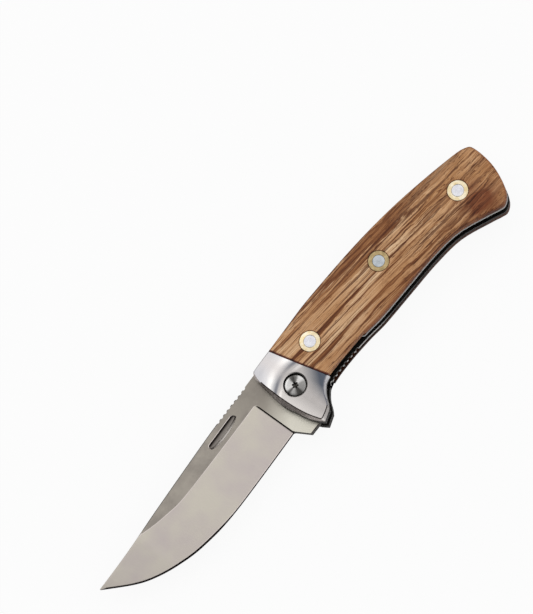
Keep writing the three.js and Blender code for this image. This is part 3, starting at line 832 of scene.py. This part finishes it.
# The roll's tones are painted highlights above the arch and painted shade in the trough just below it
rolled = ramp(tree, spread(tree, past_arch, 2.6, 12.6), {
    0: "C4BFBC", 0.21: "CCC8C6", 0.27: "96969C", 0.31: "888990", 0.42: "BAB9BA", 0.54: "EAE7E5",
    0.62: "E7E4E2", 0.76: "CAC8C9", 1: "B8B7BA"})
marks = uses(tree, handling, {"Size": 0.3, "Low": 0.2, "High": 0.28})
body = ramp(tree, marks.outputs["Mask"], {0.38: "BCB6B3", 0.62: "C4BEBC"})
beside = spread(tree, sum_of(tree, "ABSOLUTE", sideways), 0.5, 4.5, 0.35)
body = mixed(tree, beside, body, rolled)
# A painted highlight at the front, below the arch
to_front = spread(tree, parts["X"], -1.5, -5.8, 0, 0.85)
below_arch = spread(tree, past_arch, 5.1, 3.9)
body = mixed(tree, sum_of(tree, "MULTIPLY", to_front, below_arch), body, tone("EAE4E0"))
across_x = sum_of(tree, "MULTIPLY_ADD", parts["X"], down_x, -down_x * hollow_x - down_y * hollow_y)
past_crease = sum_of(tree, "MULTIPLY_ADD", parts["Y"], down_y, across_x)
painted_hollow_shade = sum_of(tree, "MULTIPLY", spread(tree, past_crease, -6.5, -1), spread(tree, parts["X"], 0, 5))
body = mixed(tree, painted_hollow_shade, body, tone("5A606B"))
polish = (2.5, 2.5, 2.5)
brushed(tree, shader, body, marks, polish, 0.06, 0.12)
bolster_finishes = [
    bolster_steel,
    ground_steel("bolster_rim_reflection", "C2B9B4", "CFC6C1", polish, 0.1, 0.38, 0.2),
    ground_steel("bolster_painted_shade", "2A2725", "3A3633", (4, 4, 4), 0.2, 0.5, 0.5),
    ground_steel("bolster_crease_shade", "2A2523", "3A3431", polish, 0.1, 0.4, 0.4),
    ground_steel("bolster_highlight", "C8C7CA", "D4D3D6", polish, 0.06, 0.3, 0.1),
    ground_steel("bolster_bend_shade", "6E6E75", "7C7C84", polish, 0.06, 0.3, 0.1),
]
piece("bolster_front_block", bolster(), bolster_finishes, "handle", ["bolster_front"])


room_swing = math.radians(-1.274)


def bar_room():
    """The wedge of room in the back covers, where the lock bar lies when the blade is folded."""
    room = slab([(6.92, -0.8), (5.68, -3.6), (6.8, slot_height), (6.8, -outside), (bar_root, -outside),
                 (bar_root, -4)], -cover_inner - 0.2, 0)
    root = Matrix.Translation((bar_root, 0, -liner_inner))
    swing = root @ Matrix.Rotation(room_swing, 4, "Y") @ root.inverted()
    bmesh.ops.transform(room, matrix=swing, verts=room.verts)
    return room


back_bolster = worked(turned_over(bolster()), bar_room())
piece("bolster_back_block", back_bolster, bolster_finishes, "handle", ["bolster_back"])

# Scales: striped wood, sawn along the grain, glued and riveted to the liners and sanded flush with the
# bolsters. The front one is cut back near the bolster, so that the thumb reaches the lock bar.
scale_round = 0.8
scale_edge = []  # its rounding in steps of run and rise
for step in range(5):
    low = math.radians(18 * step)
    high = math.radians(18 * (step + 1))
    scale_edge.append((scale_round * (math.cos(low) - math.cos(high)),
                       scale_round * (math.sin(high) - math.sin(low))))
joint_gap = 0.12
ring_radius = 3.6
rivet_places = [(14.7, 4.8), (49.95, 2.25), (84.6, -5.2)]
relief_top = slot_height + 0.5
relief_end = 28.3
relief_outline = [(0, relief_top), (slot_start, relief_top), (run_x(0.09), relief_top - 0.42),
                  (27, relief_top - 0.95), (relief_end, 1.15 * slot_height), (relief_end, -outside),
                  (0, -outside)]


def roll_cuts(count):
    """Where a piece is cut so that it can follow the roll towards the spine."""
    return [roll_start + 0.6 * step for step in range(count)]


def scale(relieved):
    """A front scale with its outer edge worked in by small steps. It is cut off at the joint, bored for its
    rivets, and relieved for the thumb if so asked."""
    block = slab(handle_outline, cover_inner, handle_face - sum(rise for run, rise in scale_edge))
    top = max(block.faces, key=lambda face: face.calc_center_median().z)
    for run, rise in scale_edge:
        bmesh.ops.inset_region(block, faces=[top], thickness=run, depth=rise, use_boundary=True,
                               use_even_offset=True)
    scale_start = [(x + joint_gap, y) for x, y in joint_line]
    corners = [(scale_start[-1][0], -outside), (-outside, -outside)]
    solid = worked(block, slab([(-outside, joint_top)] + scale_start + corners, 0, beyond))
    for x, y in rivet_places:
        solid = worked(solid, bar(x, y, ring_radius + pin_gap, 0, beyond))
    if relieved:
        solid = worked(solid, slab(relief_outline, 0, beyond))
    gridded(solid, [], roll_cuts(17))
    return lowered(solid, spine_roll)


# The grain lies a little turned to the knife. It sways, with ripples that grow towards the butt.
wood, tree, shader = finish("striped_wood", 0.45, 0)
shader.inputs["Specular IOR Level"].default_value = 0.2
place = knife_place(tree)
parts = parts_of(tree, place)
turned_grain = mapped(tree, place, (0, 0, math.radians(8)))
laid = mapped(tree, turned_grain, (math.radians(-32), 0, 0))
across = parts_of(tree, laid)
sway = noise(tree, mapped(tree, laid, stretch=(0.014, 0.07, 0.06)), 1, 2, 0.4)
ripple = noise(tree, mapped(tree, laid, stretch=(0.14, 0.4, 0.4)), 1, 2)
to_butt = spread(tree, across["X"], 40, 85, 0.7, 2.6)
swayed = sum_of(tree, "MULTIPLY_ADD", sway, 4, across["Y"])
rippled = sum_of(tree, "MULTIPLY_ADD", ripple, to_butt, swayed)
grain = node(tree, "CombineXYZ", {"X": across["X"], "Y": rippled, "Z": across["Z"]}).outputs[0]


def along_grain(length, width, detail, roughness=0.5):
    """Noise drawn out along the grain."""
    return noise(tree, mapped(tree, grain, stretch=(length, width, width)), 1, detail, roughness)


clouds = along_grain(0.03, 0.22, 2)
bands = along_grain(0.011, 0.48, 4, 0.58)
band_cores = along_grain(0.03, 1.5, 3, 0.6)
lines = along_grain(0.02, 1.2, 4, 0.55)
dashes = along_grain(0.1, 2.1, 3, 0.6)
streaks = along_grain(0.08, 4, 3)
pores = along_grain(0.4, 4.6, 1)

# Pale wood with broad dark bands that fade to the butt, thin lines, and dashes that are stronger further back
body = ramp(tree, clouds, {0.35: "CC9B6D", 0.5: "E0B489", 0.65: "EFCCA5"})
banded = spread(tree, bands, 0.485, 0.44, 0, spread(tree, parts["X"], 62, 90, 1, 0.5))
body = mixed(tree, banded, body, ramp(tree, band_cores, {0.36: "5C3019", 0.5: "85522E", 0.64: "AF7B50"}))
body = mixed(tree, spread(tree, lines, 0.42, 0.37, 0, 0.85), body, tone("74482C"))
dashed = spread(tree, dashes, 0.41, 0.35, 0, spread(tree, parts["X"], 15, 60, 0.3, 0.9))
body = mixed(tree, dashed, body, tone("663A22"))
body = shaded(tree, body, ramp(tree, streaks, {0.3: "B89A80", 0.47: "EADFD2", 0.64: "FFFFFF"}))
body = mixed(tree, 0.85, body, ramp(tree, pores, {0.27: "6E4630", 0.35: "FFFFFF"}), "MULTIPLY")

# A clouded knot near the butt, a thin dark line round each rivet, and wood darker along the joint
from_knot = measured(tree, "DISTANCE", place, (86, -13.5, 6))
clouded = sum_of(tree, "MULTIPLY_ADD", ripple, 9, from_knot)
body = mixed(tree, spread(tree, clouded, 8, 13.5, 0.9, 0), body, shaded(tree, body, tone("A2725A")))
for x, y in rivet_places:
    off_ring = spread(tree, off_line(tree, parts, x, y), ring_radius + 0.08, ring_radius + 0.35)
    body = shaded(tree, body, ramp(tree, off_ring, {0: "A08272", 1: "FFFFFF"}))
share = sum_of(tree, "MULTIPLY_ADD", parts["Y"], -1 / joint_drop, joint_top / joint_drop)
bend = sum_of(tree, "MULTIPLY_ADD", share, joint_bend, joint_lean)
at_joint = sum_of(tree, "MULTIPLY_ADD", share, bend, joint_x)
past_joint = sum_of(tree, "SUBTRACT", parts["X"], at_joint)
body = shaded(tree, body, ramp(tree, past_joint, {0.5: "6B3838", 0.95: "FFFFFF"}))

# The rounded rim is painted darker as shade, most of all on the back scale, where little light falls on it
rim_mark = node(tree, "Attribute", attribute_name="rim")
rim_shade_tone = mixed(tree, spread(tree, parts["Z"], -2, -3.4), tone("B99A88"), tone("6A4E42"))
near_rim = spread(tree, rim_mark.outputs["Fac"], 0.2, 1)
body = shaded(tree, body, mixed(tree, near_rim, tone("FFFFFF"), rim_shade_tone))
marks = uses(tree, handling, {"Size": 0.35, "Low": 0.4, "High": 0.52})
pitted = sum_of(tree, "MULTIPLY_ADD", streaks, 0.5, pores)
joined(tree, shader, {
    "Base Color": body, "Roughness": marks.outputs["Roughness"], "Normal": raised(tree, pitted, 0.35, 0.08)})

rim_width = 1.4
rim_marks = []
for first_mark, last_mark in zip(handle_outline, handle_outline[1:] + handle_outline[:1]):
    pieces = math.ceil((last_mark - first_mark).length / 0.15)
    rim_marks += [first_mark.lerp(last_mark, step / pieces) for step in range(pieces)]
rim_tree = kdtree.KDTree(len(rim_marks))
for index, mark in enumerate(rim_marks):
    rim_tree.insert((mark.x, mark.y, 0), index)
rim_tree.balance()


def mark_rim(made):
    """Notes how near each point of a scale lies to the handle's outline, for the rim's painted shade. The rim
    is wider at the belly.
    """
    rim = made.data.attributes.new("rim", "FLOAT", "POINT")
    for vert, value in zip(made.data.vertices, rim.data):
        spot = (vert.co - pivot) / MM
        off_rim = rim_tree.find((spot.x, spot.y, 0))[2]
        value.value = max(0, 1 - off_rim / (rim_width if spot.y < 0 else rim_width / 2))


mark_rim(piece("scale_front_wood", scale(True), [wood], "handle", ["scale_front"]))
back_scale = worked(turned_over(scale(False)), bar_room())
mark_rim(piece("scale_back_wood", back_scale, [wood], "handle", ["scale_back"]))

# Rivets: three on each side, each a steel core set in a brass ring. They hold the scale to its liner and are
# ground flush with the wood.
core_radius = 2.1
ring_inner = core_radius + pin_gap


def rivet_metal(name, dark, light):
    """Brass or steel ground across in fine lines, between two tones."""
    material, tree, shader = finish(name, 0.3, 1)
    marks = uses(tree, handling, {"Size": 0.6, "Low": 0.26, "High": 0.38})
    body = ramp(tree, marks.outputs["Mask"], {0.36: dark, 0.64: light})
    brushed(tree, shader, body, marks, (1.2, 6, 1), 0.16, 0.5, (0, 0, 0.5))
    return material


pale_brass = rivet_metal("pale_brass", "EDD7A6", "FDF2D8")
shaded_brass = rivet_metal("shaded_brass", "A69168", "C9B285")
bright_core = rivet_metal("bright_core", "DCDCE4", "EDEDF2")
shaded_core = rivet_metal("shaded_core", "AEB5BB", "C8CED4")
# The middle rivet's ring and core are darker copies of the same brass and steel, as painted shade
for number, (x, y) in enumerate(rivet_places, 1):
    ring_finish, core_finish = (shaded_brass, shaded_core) if number == 2 else (pale_brass, bright_core)
    for side in ("front", "back"):
        ring = turned([
            (ring_inner, cover_inner), (ring_radius, cover_inner), (ring_radius, handle_face - 0.1),
            (ring_radius - 0.1, handle_face), (ring_inner + 0.07, handle_face),
            (ring_inner, handle_face - 0.07), (ring_inner, cover_inner)])
        core = turned([
            (0, liner_inner), (core_radius, liner_inner), (core_radius, handle_face - 0.08),
            (core_radius - 0.08, handle_face), (0, handle_face)])
        for kind, solid, material, slot in (
                ("ring", ring, ring_finish, "brass"), ("core", core, core_finish, "rivet_steel")):
            bmesh.ops.translate(solid, vec=(x, y, 0), verts=solid.verts)
            gridded(solid, [], roll_cuts(6))
            lowered(solid, spine_roll)
            if side == "back":
                turned_over(solid)
            piece(f"rivet_{kind}_{side}_{number}_ground", solid, [material], "handle",
                  [f"rivet_{kind}_{side}_{number}"])

# Floor: a plain pale sheet that the knife lies on. It looks white to the camera, and keeps a soft shadow
# under the knife.
floor_sheet = bmesh.new()
bmesh.ops.create_grid(floor_sheet, x_segments=1, y_segments=1, size=1.5)
floor_mesh = bpy.data.meshes.new("floor")
floor_sheet.to_mesh(floor_mesh)
floor_sheet.free()
floor = placed("floor", floor_mesh)
floor_paint, tree, shader = finish("floor_paint", 0.9, 0)
shader.inputs["Base Color"].default_value = (0.85, 0.85, 0.85, 1)
shader.inputs["Specular IOR Level"].default_value = 0
seen = node(tree, "LightPath")
glow = node(tree, "Emission", {"Color": (1, 1, 1, 1), "Strength": 1})
share = sum_of(tree, "MULTIPLY", seen.outputs["Is Camera Ray"], 0.92)
blend = node(tree, "MixShader", {0: share, 1: shader.outputs["BSDF"], 2: glow.outputs["Emission"]})
joined(tree, tree.nodes["Material Output"], {"Surface": blend.outputs["Shader"]})
floor.data.materials.append(floor_paint)

# Light: one wide soft lamp above the spine side, in a pale room that is brighter at the belly side and dim
# at the tip.
lamp_data = bpy.data.lights.new("soft_lamp", "AREA")
lamp_data.shape = "RECTANGLE"
lamp_data.size = 1.2
lamp_data.size_y = 0.75
lamp_data.energy = 1.7
lamp = placed("soft_lamp", lamp_data)
lamp.visible_camera = False
lamp_from = Vector((0.06, 0.79, 0.9))
lamp.matrix_world = Matrix.Translation(lamp_from) @ lamp_from.to_track_quat("Z", "Y").to_matrix().to_4x4()

world = bpy.data.worlds.new("studio")
world.use_nodes = True
tree = world.node_tree
room = tree.nodes["Background"]
facing = node(tree, "TexCoord").outputs["Generated"]
lift = spread(tree, measured(tree, "DOT_PRODUCT", facing, (0.72, -0.62, 0.31)), 0.3, 1, 0.85, 1.15)
dim = spread(tree, measured(tree, "DOT_PRODUCT", facing, (-0.93, 0.1, 0.35)), 0.35, 0.9, 1, 0.12)
seen = node(tree, "LightPath")
shown = spread(tree, seen.outputs["Is Camera Ray"], 0, 1, sum_of(tree, "MULTIPLY", lift, dim), 1)
joined(tree, room, {"Strength": shown})
room.inputs["Color"].default_value = (1, 1, 1, 1)
bpy.context.scene.world = world
bpy.context.scene.view_settings.view_transform = "Standard"

# Camera: a long lens looking down on the open knife, a little from the slot side and the tip. It puts the
# pivot where it lies in the picture, counted in pixels from the top left corner.
pixel = 0.332 * MM
picture_height = 614 * pixel
middle_x, middle_y = 266.5, 307
pivot_x, pivot_y = 294.9, 384.7
distance = 1.2
toward_camera = Vector((-0.10, -0.31, 1)).normalized()
along = (Vector((1, 0, 0)) - toward_camera * toward_camera.x).normalized()
across = toward_camera.cross(along)
turn = math.radians(53.3)
picture_right = along * math.cos(turn) - across * math.sin(turn)
picture_up = along * math.sin(turn) + across * math.cos(turn)
pivot_face = pivot + Vector((0, 0, 6 * MM))
aim = pivot_face + picture_right * (middle_x - pivot_x) * pixel + picture_up * (pivot_y - middle_y) * pixel
camera_data = bpy.data.cameras.new("camera")
camera_data.sensor_width = 36
camera_data.lens = camera_data.sensor_width * distance / picture_height
camera_data.clip_end = 10
camera = placed("camera", camera_data)
camera.matrix_world = Matrix.Translation(aim + toward_camera * distance) @ Matrix(
    (picture_right, picture_up, toward_camera)).transposed().to_4x4()
bpy.context.scene.camera = camera
